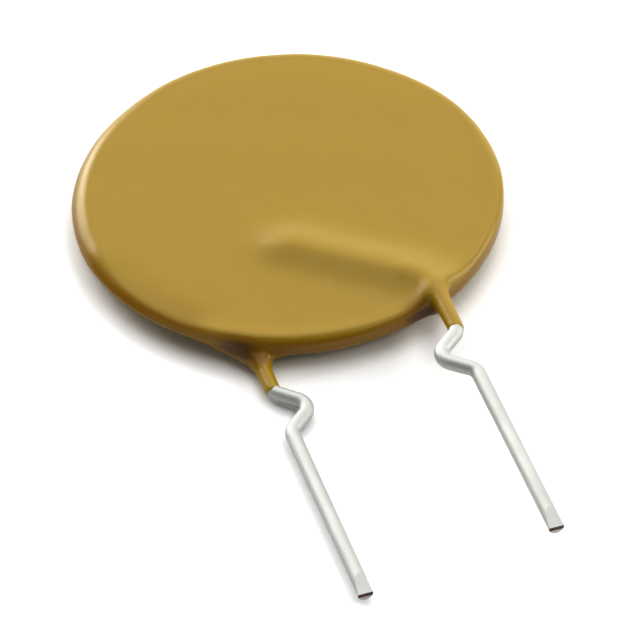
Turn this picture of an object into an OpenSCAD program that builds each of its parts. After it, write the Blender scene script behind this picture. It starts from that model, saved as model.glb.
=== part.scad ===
// Resettable fuse with two wire leads: a conductive polymer disc between two foil electrodes,
// one lead soldered across each foil, the whole dipped in a smooth coating that drapes over
// the leads and runs down them as short legs. Dimensions are in millimetres.
//
// It lies on its rear face. +Z points out of the front face, +X from the rear lead to the
// front lead, and the leads run towards -Y. The origin is midway between the leads, in the
// board plane, where the front lead's kink ends and its straight pin starts.
// The rear half is the front half turned half a turn about the Y axis, with its own kink, tip
// and leg length.

/* [Element] */
// Diameter of the polymer disc and of its foils
element_d = 22.4; // [20:0.1:25]
// Thickness of the polymer disc
element_t = 0.62; // [0.5:0.02:0.7]
// Thickness of each foil electrode
foil_t = 0.04; // [0.03:0.01:0.06]

/* [Leads] */
// Diameter of the lead wire
wire_d = 0.81; // [0.7:0.01:0.9]
// Distance between the two straight leads
lead_pitch = 10.2; // [9.6:0.1:11]
// Length of the front lead below the board plane
pin_len = 11.9; // [6:0.1:20]
// How much shorter the rear lead is than the front one
rear_tip_short = 0.3; // [0:0.05:1]
// Length of the kink in a lead, along the lead
kink_len = 3.1; // [2.9:0.1:3.3]
// How far the front kink's corner is set in from the straight lead
front_kink_depth = 1.8; // [1.4:0.1:2]
// How far the rear kink's corner is set in from the straight lead
rear_kink_depth = 1.7; // [1.4:0.1:2]
// How much higher the rear kink sits than the front one
rear_kink_lift = 0.45; // [0:0.05:0.6]
// Bend radius of the kinks, to the middle of the wire
kink_bend_r = 0.8; // [0.6:0.05:0.9]

/* [Run across the foil] */
// Length of the slanted run, from its corner to its inner end
run_len = 9.4; // [7:0.1:11]
// Angle of the slanted run from the straight lead
run_angle = 52; // [44:1:58]
// Distance of the run's corner inside the lower edge of the foil
corner_inset = 1.8; // [1.4:0.1:2.2]
// Bend radius of the corner, to the middle of the wire
run_bend_r = 3; // [2.4:0.1:3.4]

/* [Solder] */
// Thickness of the solder film between a foil and its lead
solder_film = 0.04; // [0.03:0.005:0.045]
// Radius of the solder fillets beside a lead
solder_fillet = 0.5; // [0.4:0.05:0.7]
// Height that the solder climbs beside a lead
solder_h = 0.3; // [0.2:0.02:0.34]
// Distance from the inner end of the run to the solder
solder_start = 0.5; // [0.2:0.05:0.8]
// Length of the soldered stretch of the slanted run
solder_len = 6.4; // [4:0.1:6.8]

/* [Coating] */
// Thickness of the coating round the edge of the disc
rim_cover = 0.75; // [0.6:0.05:1.1]
// Thickness of the coating over each foil
face_cover = 0.5; // [0.46:0.01:0.55]
// Thickness of the coating over the top of a lead
ridge_cover = 0.17; // [0.12:0.01:0.25]
// Half width of the ridge where the coating drapes over a lead
ridge_w = 1.65; // [1.3:0.05:1.8]
// Distance from the rim to the start of the front kink
leg_len = 1.57; // [1.4:0.01:1.8]
// How far round the first bend of each kink the coating reaches, in degrees
leg_wrap = 24; // [5:1:30]
// Thickness of the coating at the end of a leg
leg_skin = 0.07; // [0.05:0.01:0.15]
// Reach of a leg's flare at the rim, on the side towards the other leg
flare_in = 3; // [2.4:0.1:3.6]
// Reach of a leg's flare at the rim, on the side away from the other leg
flare_out = 1.8; // [1.7:0.1:2.4]

/* [Hidden] */
$fn = 64;

ochre = "#af8f3e";
charcoal = "#2b2b2d";
nickel = "#b9b6ac";
solder_grey = "#a3a6a8";
tin = "#d5d7d6";

// Heights above the middle of the disc
wire_r = wire_d / 2;
foil_top = element_t / 2 + foil_t;
wire_z = foil_top + solder_film + wire_r;

// The coated disc, and its height above the board plane
coat_d = element_d + 2 * rim_cover;
coat_t = 2 * (foil_top + face_cover);
kink_trim = kink_bend_r * tan(atan2(front_kink_depth, kink_len / 2) / 2);
rim_rise = 2 * kink_trim + kink_len + leg_len;
body_rise = rim_rise + coat_d / 2;

// Plan of a lead on the front: corner points from the inner end to the tip, and their bends
lead_x = lead_pitch / 2;
corner = [lead_x, rim_rise + rim_cover + corner_inset];
inner_end = corner + run_len * [-sin(run_angle), cos(run_angle)];
function lead_path(lift, depth, tip) = [
    inner_end,
    corner,
    [lead_x, lift + kink_len],
    [lead_x - depth, lift + kink_len / 2],
    [lead_x, lift],
    [lead_x, -tip]
];
front_path = lead_path(kink_trim, front_kink_depth, pin_len);
rear_path = lead_path(kink_trim + rear_kink_lift, rear_kink_depth, pin_len - rear_tip_short);
lead_bends = [0, run_bend_r, kink_bend_r, kink_bend_r, kink_bend_r, 0];
bend_lap = 1.5;
bend_slack = wire_d / 270;

// Heading of a path's leg i in degrees, and the signed turn at its corner i
function heading(path, i) = atan2(path[i + 1].y - path[i].y, path[i + 1].x - path[i].x);
function turn(path, i) =
    let (a = heading(path, i) - heading(path, i - 1))
    a > 180 ? a - 360 : a < -180 ? a + 360 : a;
function along(a) = [cos(a), sin(a)];

// Length that the bend at corner i takes off each of its two legs
function trim(path, bends, i) =
    i == 0 || i == len(path) - 1 ? 0 : bends[i] * tan(abs(turn(path, i)) / 2);

// The coated stretch of a lead: straight run, bend, straight leg, start of the kink
run_heading = heading(front_path, 0);
run_turn = turn(front_path, 1);
run_straight = run_len - trim(front_path, lead_bends, 1);
run_arc = run_bend_r * abs(run_turn) * PI / 180;
bend_start = inner_end + run_straight * along(run_heading);
bend_centre = bend_start + run_bend_r * along(run_heading - 90);
bend_end = bend_centre + run_bend_r * along(run_heading + run_turn + 90);

// Where a lead's kink starts, in plan and along the coated stretch
function kink_start(path) = path[2].y + trim(path, lead_bends, 2);
function kink_s(path) = run_straight + run_arc + bend_end.y - kink_start(path);

// Point and heading at a distance s along the coated stretch
function coated_heading(s, path) =
    run_heading + run_turn * min(max((s - run_straight) / run_arc, 0), 1)
    - max(s - kink_s(path), 0) / kink_bend_r * 180 / PI;
function coated_point(s, path) =
    s < run_straight ? inner_end + s * along(run_heading)
    : s < run_straight + run_arc ? bend_centre + run_bend_r * along(coated_heading(s, path) + 90)
    : s < kink_s(path) ? [lead_x, bend_end.y - s + run_straight + run_arc]
    : [lead_x - kink_bend_r, kink_start(path)] + kink_bend_r * along(coated_heading(s, path) + 90);

// The ridge rises over fade_len at its inner end, and a leg forms from just inside the rim
fade_len = 2 * wire_d;
leg_start = run_straight + 0.4 * run_arc;
leg_blend = 0.9 * run_arc;
leg_r = wire_r + leg_skin;
ridge_r = wire_r + ridge_cover;
function smooth(t) = let (u = min(max(t, 0), 1)) u * u * (3 - 2 * u);
function rise(s) = smooth((s + fade_len) / (1.5 * fade_len));
function to_leg(s) = smooth((s - leg_start) / leg_blend + 1);

// Reach of the sleeve round the lead at s, for a leg that ends at s = end
function leg_t(s, end) = max((s - leg_start) / (end - leg_start), 0);
function flare(s, end) = (1 - leg_t(s, end)) ^ 2;
function reach_up(s, end) = rise(s) * (ridge_r + (leg_r - ridge_r) * smooth(leg_t(s, end)));
function reach_side(s, end, wide) =
    s < leg_start
    ? (0.5 + 0.5 * rise(s)) * (ridge_w + (wide - ridge_w) * to_leg(s))
    : leg_r + (wide - leg_r) * flare(s, end);
function reach_down(s, end) =
    s < leg_start ? coat_t * (0.3 + 0.4 * to_leg(s)) : leg_r + (0.7 * coat_t - leg_r) * flare(s, end);

// One ring of the sleeve: a bell over the lead that turns into a circle down the leg.
// The lower half is mostly buried in the disc, so it has fewer points.
ring_angles = [for (i = [0:15]) 180 * i / 16, for (i = [0:7]) 180 + 180 * i / 8];
function sleeve_ring(s, end, path) =
    let (
        p = coated_point(s, path),
        outward = along(coated_heading(s, path) + 90),
        power = 4 - 3 * smooth(leg_t(s, end))
    )
    [for (a = ring_angles)
        let (
            q = p + reach_side(s, end, cos(a) > 0 ? flare_out : flare_in) * cos(a) * outward,
            z = sin(a) > 0 ? reach_up(s, end) * sin(a) ^ power : reach_down(s, end) * sin(a)
        )
        [q.x, q.y, wire_z + z]];

// Closed skin through a list of rings with the same number of points
module skin(rings) {
    n = len(rings[0]);
    last = (len(rings) - 1) * n;
    points = [for (r = rings) each r];
    sides = [for (i = [0:len(rings) - 2], k = [0:n - 1])
        let (a = i * n + k, b = i * n + (k + 1) % n)
        each [[a, a + n, b], [b, a + n, b + n]]];
    caps = [[for (k = [0:n - 1]) k], [for (k = [n - 1:-1:0]) last + k]];
    polyhedron(points, concat(sides, caps));
}

// Round wire swept along a plan path. Each bend is a hair thinner than the straight legs and
// turns a little further at both ends, so that it ends inside them.
module follow(path, bends, r) {
    for (i = [len(path) - 2:-1:0]) {
        start = path[i] + trim(path, bends, i) * along(heading(path, i));
        length = norm(path[i + 1] - path[i]) - trim(path, bends, i) - trim(path, bends, i + 1);
        translate([start.x, start.y, 0])
            rotate([90, 0, heading(path, i) + 90])
                cylinder(h = length, r = r);
    }
    for (i = [1:len(path) - 2]) {
        t = turn(path, i);
        side = sign(t) * 90;
        start = path[i] - trim(path, bends, i) * along(heading(path, i - 1));
        centre = start + bends[i] * along(heading(path, i - 1) + side);
        first = heading(path, i - 1) - side + min(t, 0);
        translate([centre.x, centre.y, 0])
            rotate([0, 0, first - bend_lap])
                rotate_extrude(angle = abs(t) + 2 * bend_lap)
                    translate([bends[i], 0])
                        circle(r = r - bend_slack);
    }
}

// Half a turn about Y takes a front piece to the rear
module rear() {
    rotate([0, 180, 0])
        children();
}

module lead_shape(path) {
    translate([0, 0, wire_z])
        follow(path, lead_bends, wire_r);
}

module foil_shape() {
    translate([0, body_rise, element_t / 2])
        cylinder(h = foil_t, d = element_d);
}

// Solder that wets the foil and climbs both sides of the lead
module solder_section() {
    sink = 1.5 * solder_film;
    axis = solder_film + wire_r;
    f = solder_fillet;
    foot = sqrt((wire_r + f) ^ 2 - (f - sink - axis) ^ 2);
    difference() {
        translate([-foot, 0])
            square([2 * foot, solder_h]);
        for (x = [-foot, foot])
            translate([x, f - sink])
                circle(r = f);
        translate([0, axis])
            circle(r = wire_r);
    }
}

module solder_shape() {
    start = inner_end + solder_start * along(run_heading);
    translate([start.x, start.y, foil_top])
        rotate([90, 0, run_heading + 90])
            linear_extrude(solder_len)
                solder_section();
}

// Everything that the coating closes round
module filling() {
    translate([0, body_rise, 0])
        cylinder(h = element_t + 2 * foil_t, d = element_d, center = true);
    solder_shape();
    lead_shape(front_path);
    rear() solder_shape();
    rear() lead_shape(rear_path);
}

// Coating over one lead, from the ridge on the face down to the end of the leg
module sleeve(path) {
    n = 40;
    end = kink_s(path) + kink_bend_r * leg_wrap * PI / 180;
    skin([for (i = [0:n]) sleeve_ring(-fade_len + (end + fade_len) * i / n, end, path)]);
}

module epoxy_coating() {
    rim_r = coat_t / 2;
    color(ochre)
        difference() {
            union() {
                translate([0, body_rise, 0])
                    rotate_extrude() {
                        translate([0, -rim_r])
                            square([coat_d / 2 - rim_r, coat_t]);
                        intersection() {
                            translate([coat_d / 2 - rim_r, 0])
                                circle(r = rim_r);
                            translate([coat_d / 2 - rim_r, -rim_r])
                                square([rim_r, coat_t]);
                        }
                    }
                sleeve(front_path);
                rear() sleeve(rear_path);
            }
            filling();
        }
}

module polymer_disc() {
    color(charcoal)
        translate([0, body_rise, 0])
            cylinder(h = element_t, d = element_d, center = true);
}

module front_foil() {
    color(nickel) foil_shape();
}

module rear_foil() {
    color(nickel) rear() foil_shape();
}

module front_solder() {
    color(solder_grey) solder_shape();
}

module rear_solder() {
    color(solder_grey) rear() solder_shape();
}

module front_lead() {
    color(tin) lead_shape(front_path);
}

module rear_lead() {
    color(tin) rear() lead_shape(rear_path);
}

epoxy_coating();
polymer_disc();
front_foil();
rear_foil();
front_solder();
rear_solder();
front_lead();
rear_lead();
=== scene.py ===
"""Looks of a resettable fuse: dipped coating, kinked wire leads, sealed element and studio.

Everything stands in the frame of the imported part. Shapes are worked out in millimetres, as on
the part's drawing, and scaled to metres when a mesh is made.
"""
import logging
import math
from dataclasses import dataclass
from enum import Enum
from typing import Callable

import bpy
import numpy as np
from mathutils import Matrix, Vector


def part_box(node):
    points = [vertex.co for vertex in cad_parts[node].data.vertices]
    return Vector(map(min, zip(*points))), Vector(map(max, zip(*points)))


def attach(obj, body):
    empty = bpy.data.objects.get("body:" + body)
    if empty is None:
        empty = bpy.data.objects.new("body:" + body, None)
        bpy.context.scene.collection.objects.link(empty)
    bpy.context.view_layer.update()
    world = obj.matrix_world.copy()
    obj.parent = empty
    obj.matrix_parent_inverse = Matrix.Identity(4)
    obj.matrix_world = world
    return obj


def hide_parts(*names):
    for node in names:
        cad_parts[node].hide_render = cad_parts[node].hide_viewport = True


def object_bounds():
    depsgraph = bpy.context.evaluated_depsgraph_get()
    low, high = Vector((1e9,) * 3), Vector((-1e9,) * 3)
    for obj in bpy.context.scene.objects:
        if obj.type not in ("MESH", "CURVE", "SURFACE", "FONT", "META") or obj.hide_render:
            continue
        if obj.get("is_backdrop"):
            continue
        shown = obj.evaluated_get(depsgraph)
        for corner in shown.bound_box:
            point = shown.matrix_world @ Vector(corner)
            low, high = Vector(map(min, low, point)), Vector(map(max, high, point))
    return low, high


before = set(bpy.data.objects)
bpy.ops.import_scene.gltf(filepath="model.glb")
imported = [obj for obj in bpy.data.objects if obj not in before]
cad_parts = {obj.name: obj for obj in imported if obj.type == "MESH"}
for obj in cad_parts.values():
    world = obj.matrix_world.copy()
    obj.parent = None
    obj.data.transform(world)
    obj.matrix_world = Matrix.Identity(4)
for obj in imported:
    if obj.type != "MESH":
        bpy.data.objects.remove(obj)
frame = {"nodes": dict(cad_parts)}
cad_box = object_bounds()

LOG = logging.getLogger("fuse")
MM = 0.001
NOISE_LOW, NOISE_HIGH = 0.1, 0.9
Colour = tuple[float, float, float]
Point = tuple[float, float, float]
Span = tuple[float, float]
Socket = bpy.types.NodeSocket
Field = Callable[[np.ndarray], np.ndarray]


class Side(Enum):
    """Face of the disc that a lead is soldered to."""

    FRONT = "front"
    REAR = "rear"

    @property
    def sign(self) -> int:
        """Gives +1 for the front and -1 for the rear."""
        return 1 if self is Side.FRONT else -1

    def turned(self, points: np.ndarray) -> np.ndarray:
        """Takes points between the front's frame and this side's, half a turn about Y."""
        return points * np.array([self.sign, 1.0, self.sign])


class Cut(Enum):
    """Material index of a lead's faces."""

    SKIN = 0
    CORE = 1


class Join(Enum):
    """Way to join two values in a material."""

    SUM = "ADD"
    PRODUCT = "MULTIPLY"


def smooth_step(t: np.ndarray) -> np.ndarray:
    """Gives a soft step from 0 to 1 while t goes from 0 to 1."""
    u = np.clip(t, 0.0, 1.0)
    return u * u * (3.0 - 2.0 * u)


def soft_min(a: np.ndarray, b: np.ndarray, k: float | np.ndarray) -> np.ndarray:
    """Joins two distances with a fillet.

    Args:
        a: First distance.
        b: Second distance.
        k: Reach of the fillet.

    Returns:
        The lesser distance, rounded where the two are within k of each other.
    """
    h = np.maximum(k - np.abs(a - b), 0.0) / k
    return np.minimum(a, b) - h * h * k * 0.25


def rounded_slab(
    outline: np.ndarray, height: np.ndarray, edge: np.ndarray, power: float
) -> np.ndarray:
    """Gives the distance to a slab with a round edge.

    Args:
        outline: Plan distance outside the slab's outline.
        height: Distance outside the slab's faces.
        edge: Radius of the round edge.
        power: Roundness of the edge, 2 for a true round and less for a flatter slope.

    Returns:
        The signed distance, negative inside.
    """
    q, w = outline + edge, height + edge
    outer = (np.maximum(q, 0.0) ** power + np.maximum(w, 0.0) ** power) ** (1.0 / power)
    return outer + np.minimum(np.maximum(q, w), 0.0) - edge


def line_distance(x: np.ndarray, y: np.ndarray, line: np.ndarray) -> np.ndarray:
    """Measures the plan distance from points to a line of straight stretches.

    Args:
        x: Points' x.
        y: Points' y.
        line: Corner points of the line.

    Returns:
        The distance of each point.
    """
    best = np.full(x.shape, np.inf)
    for (ax, ay), (bx, by) in zip(line, line[1:]):
        ux, uy = bx - ax, by - ay
        t = np.clip(((x - ax) * ux + (y - ay) * uy) / (ux * ux + uy * uy), 0.0, 1.0)
        best = np.minimum(best, (x - ax - t * ux) ** 2 + (y - ay - t * uy) ** 2)
    return np.sqrt(best)


def run_lengths(line: np.ndarray) -> np.ndarray:
    """Gives the length along a line up to each of its points."""
    return np.r_[0.0, np.cumsum(np.linalg.norm(np.diff(line, axis=0), axis=1))]


def new_piece(
    name: str, points: np.ndarray, faces: list, node: str
) -> bpy.types.Object:
    """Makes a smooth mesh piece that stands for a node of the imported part.

    Args:
        name: Name of the piece.
        points: Vertices in millimetres.
        faces: Vertex numbers of each face.
        node: Node that the piece replaces.

    Returns:
        The new object, riding on the part.
    """
    mesh = bpy.data.meshes.new(name)
    mesh.from_pydata((points * MM).tolist(), [], faces)
    mesh.shade_smooth()
    mesh.update()
    piece = bpy.data.objects.new(name, mesh)
    bpy.context.scene.collection.objects.link(piece)
    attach(piece, "root")
    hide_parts(node)
    LOG.info("%s: %d vertices, %d faces", name, len(mesh.vertices), len(mesh.polygons))
    return piece


@dataclass(frozen=True)
class Grain:
    """Fractal noise of a finish: features per metre, octaves, and a factor along each axis."""

    scale: float
    detail: float
    stretch: Point = (1.0, 1.0, 1.0)


class Sheet:
    """Node tree of one material, with short calls to add and join nodes."""

    def __init__(self, name: str) -> None:
        """Starts a material with a shader and object coordinates.

        Args:
            name: Name of the material.
        """
        self.material = bpy.data.materials.new(name)
        self.material.use_nodes = True
        self.nodes = self.material.node_tree.nodes
        self.links = self.material.node_tree.links
        self.shader = self.nodes["Principled BSDF"]
        self.place = self.nodes.new("ShaderNodeTexCoord").outputs["Object"]

    def set(self, **levels: float) -> None:
        """Sets numbers on the shader's own sockets, named with _ for a space."""
        for key, level in levels.items():
            self.shader.inputs[key.replace("_", " ")].default_value = level

    def placed(self, shift: Point, scale: Point) -> Socket:
        """Scales and then shifts the piece's coordinates.

        Args:
            shift: Shift along each axis.
            scale: Factor along each axis.

        Returns:
            The new coordinates.
        """
        mapping = self.nodes.new("ShaderNodeMapping")
        mapping.inputs["Location"].default_value = shift
        mapping.inputs["Scale"].default_value = scale
        self.links.new(self.place, mapping.inputs["Vector"])
        return mapping.outputs["Vector"]

    def noise(self, grain: Grain) -> Socket:
        """Adds fractal noise over the piece.

        Args:
            grain: The noise.

        Returns:
            The noise value, about 0 to 1.
        """
        texture = self.nodes.new("ShaderNodeTexNoise")
        texture.inputs["Scale"].default_value = grain.scale
        texture.inputs["Detail"].default_value = grain.detail
        self.links.new(self.placed((0.0, 0.0, 0.0), grain.stretch), texture.inputs["Vector"])
        return texture.outputs["Fac"]

    def near(self, place: Point, reach: Point) -> Socket:
        """Measures how near a point of the piece is to a place.

        Args:
            place: The place in millimetres.
            reach: Distance along each axis where nearness ends, or infinity to leave it out.

        Returns:
            Nearness from 1 at the place to 0 at the reach.
        """
        shift = tuple(-p / r for p, r in zip(place, reach))
        gradient = self.nodes.new("ShaderNodeTexGradient")
        gradient.gradient_type = "SPHERICAL"
        scaled = self.placed(shift, tuple(1.0 / (r * MM) for r in reach))
        self.links.new(scaled, gradient.inputs["Vector"])
        return gradient.outputs["Fac"]

    def ranged(self, value: Socket, span: Span, levels: Span) -> Socket:
        """Carries a value from one range to another, held at its ends.

        Args:
            value: Number to carry over.
            span: Low and high end of its range.
            levels: Result at the low and at the high end.

        Returns:
            The result.
        """
        node = self.nodes.new("ShaderNodeMapRange")
        ends = zip(("From Min", "From Max", "To Min", "To Max"), (*span, *levels))
        for key, level in ends:
            node.inputs[key].default_value = level
        self.links.new(value, node.inputs["Value"])
        return node.outputs["Result"]

    def joined(self, a: Socket, b: Socket, way: Join) -> Socket:
        """Joins two values.

        Args:
            a: First value.
            b: Second value.
            way: How they are joined.

        Returns:
            The joined value.
        """
        node = self.nodes.new("ShaderNodeMath")
        node.operation = way.value
        self.links.new(a, node.inputs[0])
        self.links.new(b, node.inputs[1])
        return node.outputs["Value"]

    def tint(self, value: Socket, *stops: tuple[float, Colour]) -> None:
        """Colours the shader by a value.

        Args:
            value: Number that chooses the tone.
            stops: Values with their tones, from low to high.
        """
        ramp = self.nodes.new("ShaderNodeValToRGB")
        ramp.color_ramp.interpolation = "EASE"
        for place, _ in stops[2:]:
            ramp.color_ramp.elements.new(place)
        for element, (place, tone) in zip(ramp.color_ramp.elements, stops):
            element.position = place
            element.color = (*tone, 1.0)
        self.links.new(value, ramp.inputs["Fac"])
        self.links.new(ramp.outputs["Color"], self.shader.inputs["Base Color"])

    def mottle(self, grain: Grain, low: Colour, high: Colour) -> None:
        """Colours the shader between two tones by noise."""
        self.tint(self.noise(grain), (NOISE_LOW, low), (NOISE_HIGH, high))

    def roughen(self, grain: Grain, low: float, high: float) -> None:
        """Varies the shader's roughness between two levels by noise."""
        level = self.ranged(self.noise(grain), (NOISE_LOW, NOISE_HIGH), (low, high))
        self.links.new(level, self.shader.inputs["Roughness"])

    def bump(self, grain: Grain, strength: float, height: float) -> None:
        """Raises the surface by noise.

        Args:
            grain: The noise.
            strength: Share of the effect.
            height: Full height in millimetres.
        """
        node = self.nodes.new("ShaderNodeBump")
        node.inputs["Strength"].default_value = strength
        node.inputs["Distance"].default_value = height * MM
        self.links.new(self.noise(grain), node.inputs["Height"])
        self.links.new(node.outputs["Normal"], self.shader.inputs["Normal"])


@dataclass(frozen=True)
class ShadePool:
    """Place in millimetres beside a leg where shade is painted into the coating, and how far it
    reaches.
    """

    place: Point
    reach: float


@dataclass(frozen=True)
class EpoxyFinish:
    """Dipped pigmented epoxy with a soft gloss, and painted shade: a browner, darker band round
    the rim's side and dark patches in the hollows beside the legs.

    The painted shade goes by depth: 0 on the faces and legs, the rim's share round the rim's
    side, 1 in a hollow beside a leg.
    """

    tone: Colour = (0.296, 0.190, 0.0038)
    # Painted shade: the darker, browner tone of the rim's side.
    rim_shade_tone: Colour = (0.228, 0.120, 0.0010)
    # Painted shade: the dark tone in the hollows beside the legs.
    pool_shade_tone: Colour = (0.095, 0.042, 0.0004)
    rim_shade_depth: float = 0.5
    rim_shade_height: float = 0.62
    rim_shade_span: Span = (0.0, 0.6)
    disc_reach: float = 16.0
    disc_span: Span = (0.17, 0.23)
    # Hollows beside the two legs where shade is painted in.
    shade_pools: tuple[ShadePool, ...] = (ShadePool((4.2, 6.15, 0.1), 1.6), ShadePool((-6.3, 6.7, -0.3), 1.7))
    shade_pool_span: Span = (0.0, 0.7)
    ior: float = 1.475
    gloss: float = 0.285
    dull: float = 0.335
    gloss_grain: Grain = Grain(420.0, 2.0)
    peel: float = 0.05
    peel_height: float = 0.05
    peel_grain: Grain = Grain(1500.0, 2.0)

    def material(self, centre_y: float) -> bpy.types.Material:
        """Makes the material, with painted shade round the rim's side and beside the legs,
        uneven gloss and a trace of orange peel.

        Args:
            centre_y: Place of the disc's middle along the leads.

        Returns:
            The material.
        """
        sheet = Sheet("dipped_epoxy_with_painted_shade")
        sheet.set(IOR=self.ior)
        out = math.inf
        # Painted shade round the rim's side, kept to the disc.
        level = sheet.near((0.0, 0.0, 0.0), (out, out, self.rim_shade_height))
        level = sheet.ranged(level, self.rim_shade_span, (0.0, self.rim_shade_depth))
        disc = sheet.near((0.0, centre_y, 0.0), (self.disc_reach, self.disc_reach, out))
        disc = sheet.ranged(disc, self.disc_span, (0.0, 1.0))
        shade_depth = sheet.joined(level, disc, Join.PRODUCT)
        # Painted shade in the hollows beside the legs.
        for shade_pool in self.shade_pools:
            share = sheet.near(shade_pool.place, (shade_pool.reach, shade_pool.reach, shade_pool.reach))
            share = sheet.ranged(share, self.shade_pool_span, (0.0, 1.0 - self.rim_shade_depth))
            shade_depth = sheet.joined(shade_depth, share, Join.SUM)
        tones = (0.0, self.tone), (self.rim_shade_depth, self.rim_shade_tone), (1.0, self.pool_shade_tone)
        sheet.tint(shade_depth, *tones)
        sheet.roughen(self.gloss_grain, self.gloss, self.dull)
        sheet.bump(self.peel_grain, self.peel, self.peel_height)
        return sheet.material


@dataclass(frozen=True)
class GrainedFinish:
    """Finish whose tone, gloss and height vary with fractal noise."""

    name: str
    low: Colour
    high: Colour
    tone_grain: Grain
    gloss: float
    dull: float
    gloss_grain: Grain
    relief: float
    relief_height: float
    relief_grain: Grain
    metallic: float = 1.0

    def material(self) -> bpy.types.Material:
        """Makes the material.

        Returns:
            The material.
        """
        sheet = Sheet(self.name)
        sheet.set(Metallic=self.metallic)
        sheet.mottle(self.tone_grain, self.low, self.high)
        sheet.roughen(self.gloss_grain, self.gloss, self.dull)
        sheet.bump(self.relief_grain, self.relief, self.relief_height)
        return sheet.material


@dataclass(frozen=True)
class TinFinish(GrainedFinish):
    """Bright tin plating with fine drawing lines along the wire."""

    name: str = "tinned_wire"
    low: Colour = (0.41, 0.420, 0.398)
    high: Colour = (0.485, 0.492, 0.468)
    tone_grain: Grain = Grain(900.0, 4.0, (1.0, 0.25, 1.0))
    gloss: float = 0.54
    dull: float = 0.66
    gloss_grain: Grain = Grain(1800.0, 3.0, (1.0, 0.2, 1.0))
    relief: float = 0.15
    relief_height: float = 0.01
    relief_grain: Grain = Grain(6000.0, 2.0, (1.0, 0.06, 1.0))


@dataclass(frozen=True)
class CopperFinish(GrainedFinish):
    """Sheared copper core, dark and dull, with a torn grain across the cut."""

    name: str = "sheared_copper"
    low: Colour = (0.075, 0.044, 0.038)
    high: Colour = (0.16, 0.095, 0.080)
    tone_grain: Grain = Grain(5000.0, 3.0, (1.0, 1.0, 0.3))
    gloss: float = 0.35
    dull: float = 0.6
    gloss_grain: Grain = Grain(7000.0, 2.0)
    relief: float = 0.4
    relief_height: float = 0.02
    relief_grain: Grain = Grain(9000.0, 3.0, (0.3, 1.0, 1.0))


@dataclass(frozen=True)
class PolymerFinish(GrainedFinish):
    """Carbon-filled polymer of the switching disc, matt black with a fine grain."""

    name: str = "carbon_filled_polymer"
    low: Colour = (0.012, 0.012, 0.013)
    high: Colour = (0.030, 0.030, 0.031)
    tone_grain: Grain = Grain(3000.0, 4.0)
    gloss: float = 0.6
    dull: float = 0.85
    gloss_grain: Grain = Grain(2000.0, 2.0)
    relief: float = 0.2
    relief_height: float = 0.02
    relief_grain: Grain = Grain(4000.0, 3.0)
    metallic: float = 0.0


@dataclass(frozen=True)
class FoilFinish(GrainedFinish):
    """Nickel foil with rolling lines one way across it."""

    name: str = "nickel_foil"
    low: Colour = (0.48, 0.46, 0.42)
    high: Colour = (0.60, 0.58, 0.54)
    tone_grain: Grain = Grain(1500.0, 3.0, (1.0, 0.1, 1.0))
    gloss: float = 0.3
    dull: float = 0.45
    gloss_grain: Grain = Grain(2500.0, 2.0, (1.0, 0.08, 1.0))
    relief: float = 0.2
    relief_height: float = 0.01
    relief_grain: Grain = Grain(5000.0, 2.0, (1.0, 0.05, 1.0))


@dataclass(frozen=True)
class SolderFinish(GrainedFinish):
    """Solder that froze grey, with a faint frost in patches."""

    name: str = "frozen_solder"
    low: Colour = (0.40, 0.41, 0.42)
    high: Colour = (0.56, 0.57, 0.58)
    tone_grain: Grain = Grain(1200.0, 4.0)
    gloss: float = 0.25
    dull: float = 0.55
    gloss_grain: Grain = Grain(1600.0, 3.0)
    relief: float = 0.3
    relief_height: float = 0.03
    relief_grain: Grain = Grain(2200.0, 3.0)


@dataclass(frozen=True)
class FloorFinish:
    """Plain pale floor, matt and almost even."""

    low: Colour = (0.89, 0.89, 0.89)
    high: Colour = (0.90, 0.90, 0.90)
    tone_grain: Grain = Grain(6.0, 2.0)
    gloss: float = 0.9
    dull: float = 1.0
    gloss_grain: Grain = Grain(40.0, 2.0)

    def material(self) -> bpy.types.Material:
        """Makes the material.

        Returns:
            The material.
        """
        sheet = Sheet("pale_floor")
        sheet.set(Specular_IOR_Level=0.0)
        sheet.mottle(self.tone_grain, self.low, self.high)
        sheet.roughen(self.gloss_grain, self.gloss, self.dull)
        return sheet.material


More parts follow.
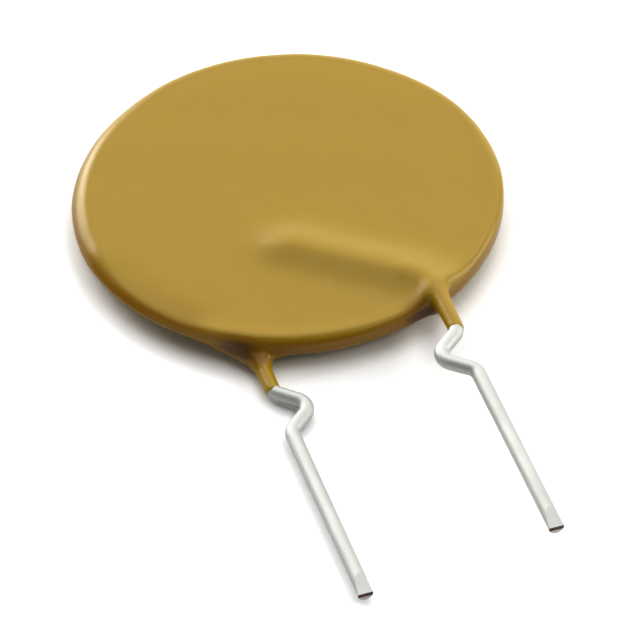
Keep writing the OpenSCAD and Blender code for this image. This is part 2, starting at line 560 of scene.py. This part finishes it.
@dataclass(frozen=True)
class LeadRoute:
    """Middle line of one lead in millimetres, from its soldered inner end to its tip.

    The points are given for a lead on the front. A rear lead is turned half a turn about Y.
    The flares are the reach of the coating's web on the inner and the outer side of the leg.
    """

    side: Side
    kink_depth: float
    kink_foot: float
    tip: float
    flare_in: float
    flare_out: float
    web_height: float
    inner_end: tuple[float, float] = (-2.3073, 13.7410)
    corner_y: float = 7.9538
    half_pitch: float = 5.1
    kink_len: float = 3.1
    run_bend: float = 3.0
    kink_bend: float = 0.8
    leg_wrap: float = 24.0
    height: float = 0.795
    wire_r: float = 0.405
    fine_arc: int = 24
    coarse_arc: int = 8

    def corners(self) -> tuple[np.ndarray, list[float]]:
        """Lists the route's corners.

        Returns:
            Corner points in plan, and the bend radius at each.
        """
        x, y = self.half_pitch, self.kink_foot
        points = [
            self.inner_end,
            (x, self.corner_y),
            (x, y + self.kink_len),
            (x - self.kink_depth, y + self.kink_len / 2),
            (x, y),
            (x, -self.tip),
        ]
        return np.array(points), [0.0, self.run_bend, *[self.kink_bend] * 3, 0.0]

    def plan(self, arc_points: int) -> np.ndarray:
        """Rounds the corners of the route.

        Args:
            arc_points: Points along each bend.

        Returns:
            Plan points from the inner end to the tip.
        """
        points, bends = self.corners()
        line = [points[0]]
        for before, corner, after, radius in zip(points, points[1:], points[2:], bends[1:]):
            u = (before - corner) / np.linalg.norm(before - corner)
            v = (after - corner) / np.linalg.norm(after - corner)
            half = math.acos(float(np.clip(u @ v, -1.0, 1.0))) / 2
            middle = corner + (u + v) / np.linalg.norm(u + v) * radius / math.sin(half)
            start = corner + u * radius / math.tan(half) - middle
            end = corner + v * radius / math.tan(half) - middle
            sweep = math.pi - 2 * half
            for t in np.linspace(0.0, 1.0, arc_points):
                arm = math.sin((1 - t) * sweep) * start + math.sin(t * sweep) * end
                line.append(middle + arm / math.sin(sweep))
        line.append(points[-1])
        return np.array(line)

    def centre_line(self, step: float) -> np.ndarray:
        """Spaces points evenly along the whole route.

        Args:
            step: About the distance between points.

        Returns:
            Plan points from the inner end to the tip.
        """
        line = self.plan(self.fine_arc)
        run = run_lengths(line)
        at = np.linspace(0.0, run[-1], int(run[-1] / step) + 1)
        return np.stack([np.interp(at, run, line[:, n]) for n in (0, 1)], axis=1)

    def leg_end(self) -> tuple[np.ndarray, np.ndarray]:
        """Finds where the coating ends.

        Returns:
            The point in plan, and the lead's direction there.
        """
        half_turn = math.atan2(self.kink_depth, self.kink_len / 2) / 2
        kink_top = self.kink_foot + self.kink_len + self.kink_bend * math.tan(half_turn)
        a = math.radians(self.leg_wrap)
        swing = self.kink_bend * np.array([math.cos(a) - 1.0, -math.sin(a)])
        ahead = np.array([-math.sin(a), -math.cos(a)])
        return np.array([self.half_pitch, kink_top]) + swing, ahead

    def coated(self) -> np.ndarray:
        """Gives plan points of the stretch under the coating and a little beyond its end."""
        return self.plan(self.coarse_arc)[:2 + 2 * self.coarse_arc]

    def run_frame(self) -> tuple[np.ndarray, np.ndarray]:
        """Finds the way that the soldered run lies.

        Returns:
            Its direction in plan, and the direction across it to the far side.
        """
        along = np.array([self.half_pitch, self.corner_y]) - np.array(self.inner_end)
        along /= np.linalg.norm(along)
        return along, np.array([-along[1], along[0]])


@dataclass(frozen=True)
class SurfaceNet:
    """Closed mesh of quads round the inside of a signed distance field."""

    low: Point
    high: Point
    step: float

    def mesh(self, distance: Field) -> tuple[np.ndarray, np.ndarray]:
        """Meshes the field's zero surface.

        Args:
            distance: Signed distance at points, negative inside.

        Returns:
            Vertices and quads.
        """
        axes = [np.arange(a, b + self.step, self.step) for a, b in zip(self.low, self.high)]
        grid = np.stack(np.meshgrid(*axes, indexing="ij"), axis=-1)
        value = distance(grid.reshape(-1, 3)).reshape(grid.shape[:3])
        points, number = self.vertices(value)
        return points, self.quads(value < 0.0, number)

    def vertices(self, value: np.ndarray) -> tuple[np.ndarray, np.ndarray]:
        """Puts one vertex into each cell that the surface crosses.

        Args:
            value: Field at the grid's corners.

        Returns:
            Vertices, and each cell's vertex number or -1.
        """
        inside = value < 0.0
        corners = [(i, j, k) for i in (0, 1) for j in (0, 1) for k in (0, 1)]
        nx, ny, nz = (n - 1 for n in value.shape)
        blocks = [inside[i:i + nx, j:j + ny, k:k + nz] for i, j, k in corners]
        count = sum(block.astype(np.int8) for block in blocks)
        cells = np.argwhere((count > 0) & (count < len(corners)))
        total, hits = np.zeros((len(cells), 3)), np.zeros(len(cells))
        for a in corners:
            for axis in range(3):
                if a[axis]:
                    continue
                b = tuple(v + (n == axis) for n, v in enumerate(a))
                va = value[tuple((cells + a).T)]
                vb = value[tuple((cells + b).T)]
                cross = (va < 0.0) != (vb < 0.0)
                t = np.where(cross, va / np.where(cross, va - vb, 1.0), 0.0)
                total[cross] += (np.array(a) + t[:, None] * (np.array(b) - np.array(a)))[cross]
                hits += cross
        number = np.full((nx, ny, nz), -1)
        number[tuple(cells.T)] = np.arange(len(cells))
        return (cells + total / hits[:, None]) * self.step + np.array(self.low), number

    @staticmethod
    def quads(inside: np.ndarray, number: np.ndarray) -> np.ndarray:
        """Joins the vertices of the four cells round each crossed grid edge.

        Args:
            inside: True at the grid's corners inside the surface.
            number: Each cell's vertex number.

        Returns:
            Quads that face outwards.
        """
        faces = []
        for axis in range(3):
            first = np.moveaxis(inside, axis, 0)
            edges = np.argwhere(np.moveaxis(first[:-1] != first[1:], 0, axis))
            out = inside[tuple(edges.T)]
            u, w = np.eye(3, dtype=int)[[(axis + 1) % 3, (axis + 2) % 3]]
            ring = [number[tuple((edges - d).T)] for d in (0 * u, u, u + w, w)]
            quad = np.stack(ring, axis=1)
            quad[~out] = quad[~out][:, ::-1]
            faces.append(quad)
        return np.vstack(faces)


@dataclass(frozen=True)
class Sector:
    """Part of the rim that departs from the rest by an amount in millimetres.

    The azimuth is its middle and the width reaches to either side, both in degrees.
    """

    azimuth: float
    width: float
    amount: float

    def at(self, turn: np.ndarray) -> np.ndarray:
        """Gives the amount at azimuths, whole over the sector's inner half."""
        off = np.abs((turn - self.azimuth + 180.0) % 360.0 - 180.0)
        return self.amount * smooth_step(2.0 * (self.width - off) / self.width)


@dataclass(frozen=True)
class Swell:
    """Slow unevenness of a dipped surface, the product of two plane waves.

    A wave is given by its factors on x, y and z and by its start.
    """

    height: float
    first: tuple[float, float, float, float]
    second: tuple[float, float, float, float]

    def at(self, p: np.ndarray) -> np.ndarray:
        """Gives the height at points."""
        a, b = (np.sin(p @ np.array(wave[:3]) + wave[3]) for wave in (self.first, self.second))
        return self.height * (a * b)


@dataclass
class DippedCoating:
    """Coating that covers the disc, drapes over both leads and runs down them as legs.

    Lengths are in millimetres. Where a form changes, _from is the distance from the rim where
    the change starts, and _over is its length.
    """

    routes: tuple[LeadRoute, LeadRoute]
    centre_y: float
    finish: EpoxyFinish = EpoxyFinish()

    # Faces and rim.
    radius: float = 11.92
    front_face: float = 0.74
    rear_face: float = 0.82
    lean: float = 0.014
    lean_way: tuple[float, float] = (0.28, 0.96)
    front_edge: float = 0.54
    left_fuller: Sector = Sector(155.0, 50.0, 0.53)
    top_fuller: Sector = Sector(75.0, 60.0, 0.32)
    right_sharper: Sector = Sector(312.0, 50.0, -0.18)
    rear_edge: float = 0.76
    rim_power: float = 1.8
    shoulder: float = 2.4
    shoulder_drop: float = 0.14
    shoulder_low: float = 0.1
    shoulder_rise: float = 0.7
    corner_drop: Sector = Sector(210.0, 26.0, 0.34)
    bead: float = 0.045
    bead_inset: float = 0.50
    bead_width: float = 0.50

    # Ridges over the soldered runs.
    ridge_near: float = 0.84
    ridge_far: float = 1.12
    ridge_end: float = 1.40
    ridge_even: float = 1.5
    ridge_crest: float = 1.17
    ridge_late: float = 1.65
    ridge_shift: float = 0.02

    # Sleeves down the leads, with their uneven ends as height, turns and start of each wave.
    leg_skin: float = 0.03
    leg_root: float = 0.47
    leg_taper: float = 2.6
    buried_r: float = 0.34
    sleeve_from: float = 1.6
    sleeve_over: float = 1.4
    funnel: float = 0.60
    funnel_from: float = 0.9
    funnel_over: float = 1.6
    end_waves: tuple[Point, ...] = ((0.05, 1.0, 0.6), (0.03, 2.0, 2.0))
    end_round: float = 0.06

    # Webs between the sleeves and the rim.
    flare_turn: float = 0.6
    web_inset: float = 0.45
    web_sink: float = 0.80
    web_rise_from: float = 0.4
    web_rise_over: float = 2.0
    web_in_from: float = 0.5
    web_in_over: float = 1.1
    web_out_over: float = 2.2
    web_aside_from: float = 0.5
    web_aside_over: float = 0.7
    web_foot: float = 0.9

    # Skin and mesh.
    blend: float = 0.30
    swells: tuple[Swell, ...] = (
        Swell(0.012, (0.83, 0.4, 0.0, 1.0), (-0.3, 0.71, 1.0, 0.4)),
        Swell(0.004, (2.3, -1.1, 0.0, 0.7), (0.8, 1.9, 2.0, 0.0)),
    )
    step: float = 0.13
    side_room: float = 0.4
    foot_room: float = 0.7
    half_height: float = 1.75
    slope_step: float = 0.01
    settle_rounds: int = 4
    settle_share: float = 0.6
    settle_most: float = 0.05

    def ridge(self, x: np.ndarray, y: np.ndarray, route: LeadRoute) -> np.ndarray:
        """Gives the ridge's share of its full height over one lead.

        Args:
            x: Points' x in the lead's own frame.
            y: Points' y.
            route: The lead.

        Returns:
            A share from 0 to 1.
        """
        along, across = route.run_frame()
        dx, dy = x - route.inner_end[0], y - route.inner_end[1]
        run = dx * along[0] + dy * along[1] - self.ridge_late
        side = dx * across[0] + dy * across[1] + self.ridge_shift
        far = smooth_step(0.5 + side / self.ridge_near)
        spread = self.ridge_near + (self.ridge_far - self.ridge_near) * far
        mean = 0.5 * (self.ridge_near + self.ridge_far)
        spread = spread + (mean - spread) * smooth_step(-run / self.ridge_even)
        line = route.coated()
        line[:2] -= self.ridge_shift * across
        off = line_distance(x, y, line)
        off = np.where(run < 0.0, np.hypot(run / self.ridge_end, side), off)
        return np.exp(-0.5 * (off / spread) ** 2)

    def disc(self, p: np.ndarray) -> np.ndarray:
        """Gives the distance to the coated disc with the ridges over the leads.

        Args:
            p: Points in the part's frame.

        Returns:
            The signed distance.
        """
        x, y, z = p.T
        dy = y - self.centre_y
        r, turn = np.hypot(x, dy), np.degrees(np.arctan2(dy, x))
        up = (self.lean_way[0] * x + self.lean_way[1] * dy) / np.maximum(r, 1.0)
        round_edge = self.front_edge + self.left_fuller.at(turn) + self.top_fuller.at(turn)
        round_edge = round_edge + self.right_sharper.at(turn)
        t = np.clip((r - self.radius + self.shoulder) / self.shoulder, 0.0, 1.0)
        drop = self.shoulder_drop * smooth_step((up - self.shoulder_low) / self.shoulder_rise)
        drop = (drop + self.corner_drop.at(turn)) * t * t
        from_bead = (r - self.radius + self.bead_inset) / self.bead_width
        bead = self.bead * np.exp(-(from_bead**2))
        leaning = self.front_face + self.lean * up * np.maximum(r, 1.0)
        face = np.where(z > 0.0, leaning, self.rear_face)
        edge = np.where(z > 0.0, round_edge, self.rear_edge)
        half = face + bead - drop
        for route in self.routes:
            s = route.side.sign
            bell = self.ridge(x * s, y, route) * (self.ridge_crest - face)
            half = half + np.where(z * s > 0.0, bell, 0.0)
        over = np.maximum(edge - half, 0.0)
        inset = edge - (edge**self.rim_power - over**self.rim_power) ** (1.0 / self.rim_power)
        return rounded_slab(r - self.radius - inset, np.abs(z) - half, edge, self.rim_power)

    def leg(self, p: np.ndarray, route: LeadRoute) -> np.ndarray:
        """Gives the distance to the sleeve down one lead with its web to the rim.

        Args:
            p: Points in the part's frame.
            route: The lead.

        Returns:
            The signed distance.
        """
        own = route.side.turned(p)
        stop, _ = route.leg_end()
        end_r = route.wire_r + self.leg_skin
        down = smooth_step((own[:, 1] - stop[1]) / self.leg_taper)
        leg_r = end_r + (self.leg_root - end_r) * down
        sleeve = self.sleeve(own, leg_r, route)
        return soft_min(sleeve, self.web(own, leg_r, route), self.blend)

    def sleeve(self, own: np.ndarray, leg_r: np.ndarray, route: LeadRoute) -> np.ndarray:
        """Gives the distance to the sleeve down one lead.

        Args:
            own: Points in the lead's own frame.
            leg_r: Radius of the leg at each point.
            route: The lead.

        Returns:
            The signed distance.
        """
        x, y, z = own.T
        stop, ahead = route.leg_end()
        r = np.hypot(x, y - self.centre_y)
        full = smooth_step((r - self.radius + self.sleeve_from) / self.sleeve_over)
        sleeve_r = self.buried_r + (leg_r - self.buried_r) * full
        inward = smooth_step((self.radius + self.funnel_from - r) / self.funnel_over)
        wide = 1.0 + self.funnel * inward
        off = line_distance(x, y, route.coated()[1:]) / wide
        tube = np.hypot(off, z - route.height) - sleeve_r
        around = np.arctan2(z - route.height, x - route.half_pitch)
        past = (x - stop[0]) * ahead[0] + (y - stop[1]) * ahead[1]
        for height, turns, start in self.end_waves:
            past = past + height * np.sin(turns * around + start)
        return -soft_min(-tube, -past, self.end_round)

    def web(self, own: np.ndarray, leg_r: np.ndarray, route: LeadRoute) -> np.ndarray:
        """Gives the distance to the web between one leg and the rim.

        Args:
            own: Points in the lead's own frame.
            leg_r: Radius of the leg at each point.
            route: The lead.

        Returns:
            The signed distance.
        """
        x, y, z = own.T
        stop, _ = route.leg_end()
        r = np.hypot(x, y - self.centre_y)
        inner = smooth_step((route.half_pitch - x) / self.flare_turn + 0.5)
        reach = route.flare_out + (route.flare_in - route.flare_out) * inner
        rim = r - self.radius + self.web_inset
        aside = np.abs(x - route.half_pitch) - leg_r
        plan = soft_min(rim, aside, reach)
        out = smooth_step((r - self.radius + self.web_rise_from) / self.web_rise_over)
        middle = route.web_height + (route.height - route.web_height) * out
        sunk = smooth_step((self.radius - self.web_in_from - r) / self.web_in_over)
        sunk = sunk + smooth_step((r - self.radius) / self.web_out_over)
        sunk = sunk + smooth_step((aside / reach - self.web_aside_from) / self.web_aside_over)
        round_web = np.hypot(np.maximum(plan + leg_r, 0.0), z - middle) - leg_r
        round_web = round_web + self.web_sink * sunk
        ends = np.maximum(stop[1] + self.web_foot - y, y - route.corner_y)
        return np.maximum(round_web, ends)

    def distance(self, p: np.ndarray) -> np.ndarray:
        """Gives the distance to the whole coating, with a slight unevenness.

        Args:
            p: Points in the part's frame.

        Returns:
            The signed distance.
        """
        d = self.disc(p)
        for route in self.routes:
            d = soft_min(d, self.leg(p, route), self.blend)
        for swell in self.swells:
            d = d + swell.at(p)
        return d

    def slope(self, p: np.ndarray) -> np.ndarray:
        """Gives the field's gradient at points, by differences over a small step.

        Args:
            p: Points in the part's frame.

        Returns:
            The gradient at each point.
        """
        steps = np.eye(3) * self.slope_step
        rise = [self.distance(p + d) - self.distance(p - d) for d in steps]
        return np.stack(rise, axis=1) / (2 * self.slope_step)

    def settle(self, points: np.ndarray, quads: np.ndarray) -> np.ndarray:
        """Evens out the vertices and puts them exactly on the surface.

        Args:
            points: Vertices near the surface.
            quads: Faces between them.

        Returns:
            Settled vertices.
        """
        own = np.vstack([quads, quads]).ravel()
        other = np.vstack([np.roll(quads, 1, 1), np.roll(quads, -1, 1)]).ravel()
        count = len(points)
        near = np.bincount(own, minlength=count)[:, None]
        for _ in range(self.settle_rounds):
            sums = [np.bincount(own, points[other, n], count) for n in range(3)]
            move = np.stack(sums, axis=1) / near - points
            grad = self.slope(points)
            grad /= np.linalg.norm(grad, axis=1, keepdims=True)
            level = move - (move * grad).sum(1, keepdims=True) * grad
            points = points + self.settle_share * level
            grad = self.slope(points)
            pull = self.distance(points) / (grad * grad).sum(1)
            pull = np.clip(pull, -self.settle_most, self.settle_most)
            points = points - pull[:, None] * grad
        return points

    def build(self) -> bpy.types.Object:
        """Meshes the coating and puts it in place of the solid one.

        Returns:
            The piece.
        """
        edge = self.radius + self.side_room
        foot = min(route.leg_end()[0][1] for route in self.routes) - self.foot_room
        low = (-edge, foot, -self.half_height)
        high = (edge, self.centre_y + edge, self.half_height)
        points, quads = SurfaceNet(low, high, self.step).mesh(self.distance)
        points = self.settle(points, quads)
        return new_piece("dipped_coating", points, quads.tolist(), "epoxy_coating")

    def dress(self, piece: bpy.types.Object) -> None:
        """Gives the coating its finish."""
        piece.data.materials.append(self.finish.material(self.centre_y))


@dataclass
class WireLead:
    """One tinned wire lead, pressed flat at its soldered end and sheared at its tip.

    The pressed end has a share of the wire's full height, which rises to 1 in two steps along
    the wire. The tip is pinched down to a row of points, and bare for some rows below it.
    """

    route: LeadRoute
    tin: TinFinish = TinFinish()
    copper: CopperFinish = CopperFinish()
    around: int = 48
    step: float = 0.07
    pressed: float = 0.5
    first_rise: float = 0.35
    first_over: float = 2.2
    last_rise: float = 0.15
    last_from: float = 8.0
    last_over: float = 1.5
    tip_reach: float = 2.2
    pinch_slope: float = 4.00
    shear_slope: float = 0.10
    across: int = 8
    pinch_row: int = 2
    bare_rows: int = 5

    def build(self) -> bpy.types.Object:
        """Sweeps the wire along its route and puts it in place of the solid one.

        Returns:
            The piece.
        """
        side = self.route.side
        points, faces, tip = self.close(self.rings())
        heights = points[:, 2] * side.sign
        points[:, 2] += self.route.height
        name, node = f"{side.value}_wire_lead", f"{side.value}_lead"
        piece = new_piece(name, side.turned(points), faces, node)
        up = np.array([heights[face].mean() for face in faces[tip:]])
        low = self.row_height(self.pinch_row - self.bare_rows)
        bare = (up > low) & (up < self.row_height(self.pinch_row))
        index = np.full(len(faces), Cut.SKIN.value, dtype=np.int32)
        index[tip:] = np.where(bare, Cut.CORE.value, Cut.SKIN.value)
        piece.data.polygons.foreach_set("material_index", index)
        piece.data.polygons.foreach_set("use_smooth", np.arange(len(faces)) < tip)
        return piece

    def rings(self) -> np.ndarray:
        """Sweeps rings of points along the route, with heights from the wire's middle.

        Returns:
            Ring points from the inner end to the tip.
        """
        wire_r = self.route.wire_r
        line = self.route.centre_line(self.step)
        run = run_lengths(line)
        tangent = np.gradient(line, axis=0)
        tangent /= np.linalg.norm(tangent, axis=1, keepdims=True)
        normal = np.stack([-tangent[:, 1], tangent[:, 0]], axis=1)
        angle = np.linspace(0.0, 2.0 * np.pi, self.around, endpoint=False)
        side, up = np.cos(angle) * wire_r, np.sin(angle) * wire_r
        plan = line[:, None, :] + normal[:, None, :] * side[None, :, None]
        share = self.pressed + self.first_rise * smooth_step(run / self.first_over)
        share = share + self.last_rise * smooth_step((run - self.last_from) / self.last_over)
        lift = (up[None, :] + wire_r) * share[:, None] - wire_r
        rings = np.concatenate([plan, lift[:, :, None]], axis=2)
        pinched = np.clip(1.0 - (run[-1] - run) / self.tip_reach, 0.0, 1.0)
        rings[:, :, 1] += self.set_back(up * self.route.side.sign)[None, :] * pinched[:, None]
        return rings

    def row_height(self, row: int) -> float:
        """Gives the height of a row of points above the wire's middle."""
        return self.route.wire_r * math.sin(2.0 * math.pi * row / self.around)

    def set_back(self, up: np.ndarray) -> np.ndarray:
        """Gives how far the pinched end lies behind the tip at a height above the middle."""
        off = up - self.row_height(self.pinch_row)
        return np.where(off > 0.0, self.pinch_slope * off, -self.shear_slope * off)

    def close(self, rings: np.ndarray) -> tuple[np.ndarray, list, int]:
        """Joins the rings into a closed tube, with level rows of faces across its tip.

        Args:
            rings: Ring points from the inner end to the tip.

        Returns:
            Vertices, faces, and the number of the first face of the sheared tip.
        """
        count, n = rings.shape[:2]
        k, base, inner = np.arange(n), (count - 1) * n, count * n
        faces = np.stack([k, np.full(n, inner), (k + 1) % n], axis=1).tolist()
        for i in range(count - 1):
            a, b = i * n + k, i * n + (k + 1) % n
            faces += np.stack([a, b, b + n, a + n], axis=1).tolist()
        tip = len(faces)
        points = [*rings.reshape(-1, 3), rings[0].mean(axis=0)]
        share = np.linspace(0.0, 1.0, self.across + 1)[1:-1, None]
        quarter = n // 4
        rows = [[base + quarter] * (self.across + 1)]
        for row in range(quarter - 1, -quarter, -1):
            right, left = base + row % n, base + 2 * quarter - row
            first = len(points)
            points += list(points[right] + (points[left] - points[right]) * share)
            rows.append([right, *range(first, len(points)), left])
        rows.append([base + 3 * quarter] * (self.across + 1))
        for upper, lower in zip(rows, rows[1:]):
            for i in range(self.across):
                corners = (upper[i], upper[i + 1], lower[i + 1], lower[i])
                faces.append(list(dict.fromkeys(corners)))
        return np.array(points), faces, tip

    def dress(self, piece: bpy.types.Object) -> None:
        """Gives the wire its plating and its tip the bare core."""
        piece.data.materials.append(self.tin.material())
        piece.data.materials.append(self.copper.material())


@dataclass
class SealedElement:
    """Polymer disc, foils and solder under the coating, kept as the part has them."""

    polymer: PolymerFinish = PolymerFinish()
    foil: FoilFinish = FoilFinish()
    solder: SolderFinish = SolderFinish()

    def dress(self, nodes: dict[str, bpy.types.Object]) -> None:
        """Gives each sealed node its finish.

        Args:
            nodes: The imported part's nodes by name.
        """
        foil, solder = self.foil.material(), self.solder.material()
        looks = {
            "polymer_disc": self.polymer.material(),
            "front_foil": foil,
            "rear_foil": foil,
            "front_solder": solder,
            "rear_solder": solder,
        }
        for name, material in looks.items():
            for slot in nodes[name].material_slots:
                slot.material = material
            LOG.info("%s: dressed with %s", name, material.name)


@dataclass(frozen=True)
class Softbox:
    """Rectangular soft light aimed at the part, in degrees, metres and watts."""

    name: str
    azimuth: float
    elevation: float
    distance: float
    width: float
    height: float
    power: float

    def build(self, target: Vector) -> bpy.types.Object:
        """Hangs the light.

        Args:
            target: Point that the light faces.

        Returns:
            The light object.
        """
        light = bpy.data.lights.new(self.name, "AREA")
        light.shape = "RECTANGLE"
        light.size, light.size_y = self.width, self.height
        light.energy = self.power
        lamp = bpy.data.objects.new(self.name, light)
        a, e = math.radians(self.azimuth), math.radians(self.elevation)
        away = Vector((math.cos(e) * math.cos(a), math.cos(e) * math.sin(a), math.sin(e)))
        lamp.location = target + away * self.distance
        lamp.rotation_euler = away.to_track_quat("Z", "Y").to_euler()
        lamp.visible_camera = False
        bpy.context.scene.collection.objects.link(lamp)
        LOG.info("%s: soft light", self.name)
        return lamp


@dataclass
class Studio:
    """Pale floor, soft lights and a plain surround, in metres."""

    floor_z: float
    target: Vector
    finish: FloorFinish = FloorFinish()
    floor_half: float = 3.0
    floor_cells: int = 8
    surround: Colour = (0.11, 0.11, 0.11)
    view_gamma: float = 0.75
    lights: tuple[Softbox, ...] = (
        Softbox("left_softbox", 115.0, 19.0, 0.60, 0.42, 0.41, 3.10),
        Softbox("back_panel", 70.0, 32.0, 0.70, 1.30, 0.80, 6.10),
        Softbox("overhead_panel", 80.0, 82.0, 0.70, 0.90, 0.50, 2.90),
        Softbox("right_panel", 345.0, 20.0, 0.60, 0.60, 0.40, 3.20),
        Softbox("high_softbox", 48.0, 57.0, 0.60, 0.22, 0.13, 0.34),
        Softbox("front_softbox", 300.0, 55.0, 0.60, 0.18, 0.17, 0.30),
        Softbox("front_card", 205.0, 20.0, 0.60, 0.50, 0.45, 0.58),
    )

    def build(self) -> None:
        """Lays the floor, hangs the lights and sets the surround and the view transform."""
        self.lay_floor()
        for light in self.lights:
            light.build(self.target)
        scene = bpy.context.scene
        world = bpy.data.worlds.new("surround")
        world.use_nodes = True
        background = world.node_tree.nodes["Background"]
        background.inputs["Color"].default_value = (*self.surround, 1.0)
        scene.world = world
        scene.view_settings.view_transform = "Standard"
        scene.view_settings.gamma = self.view_gamma

    def lay_floor(self) -> None:
        """Lays the floor as a grid of level faces."""
        n = self.floor_cells + 1
        grid = np.linspace(-self.floor_half, self.floor_half, n)
        points = [(x, y, self.floor_z) for y in grid for x in grid]
        first = [j * n + i for j in range(n - 1) for i in range(n - 1)]
        mesh = bpy.data.meshes.new("floor")
        mesh.from_pydata(points, [], [(a, a + 1, a + n + 1, a + n) for a in first])
        floor = bpy.data.objects.new("floor", mesh)
        bpy.context.scene.collection.objects.link(floor)
        mesh.materials.append(self.finish.material())
        floor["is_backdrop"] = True
        LOG.info("floor: pale, %.1f m across", 2 * self.floor_half)


@dataclass(frozen=True)
class PhotoCamera:
    """Camera at the photograph's viewing angle, placed in millimetres."""

    place: Point = (-52.450, -167.314, 174.513)
    right: Point = (0.95063, -0.30878, -0.03076)
    up: Point = (0.23490, 0.65128, 0.72156)
    back: Point = (-0.20278, -0.69317, 0.69166)
    lens: float = 264.375
    sensor: float = 36.0
    clip: Span = (0.01, 20.0)

    def build(self) -> bpy.types.Object:
        """Makes the camera and sets it as the scene's own.

        Returns:
            The camera object.
        """
        data = bpy.data.cameras.new("photo_camera")
        data.lens, data.sensor_width = self.lens, self.sensor
        data.clip_start, data.clip_end = self.clip
        camera = bpy.data.objects.new("photo_camera", data)
        turn = Matrix((self.right, self.up, self.back)).transposed().to_4x4()
        camera.matrix_world = Matrix.Translation(Vector(self.place) * MM) @ turn
        bpy.context.scene.collection.objects.link(camera)
        bpy.context.scene.camera = camera
        LOG.info("photo_camera: %.0f mm lens", self.lens)
        return camera


FRONT_ROUTE = LeadRoute(
    Side.FRONT,
    kink_depth=1.8,
    kink_foot=0.3669,
    tip=11.9,
    flare_in=1.8,
    flare_out=0.7,
    web_height=-0.12,
)
REAR_ROUTE = LeadRoute(
    Side.REAR,
    kink_depth=1.7,
    kink_foot=0.8169,
    tip=11.6,
    flare_in=1.5,
    flare_out=3.0,
    web_height=0.42,
)


def main() -> None:
    """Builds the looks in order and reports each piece."""
    logging.basicConfig(level=logging.INFO, format="%(name)s: %(message)s")
    routes = (FRONT_ROUTE, REAR_ROUTE)
    low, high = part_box("polymer_disc")
    coating = DippedCoating(routes, (low.y + high.y) / 2 / MM)
    coating.dress(coating.build())
    for route in routes:
        lead = WireLead(route)
        lead.dress(lead.build())
    SealedElement().dress(frame["nodes"])
    PhotoCamera().build()
    Studio(cad_box[0].z, Vector((0.0, coating.centre_y * MM, 0.0))).build()
    boxes = {"cad": cad_box, "visual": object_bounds()}
    for key, box in boxes.items():
        LOG.info("%s box: %s", key, [[round(v / MM, 3) for v in corner] for corner in box])


if __name__ == "__main__":
    main()
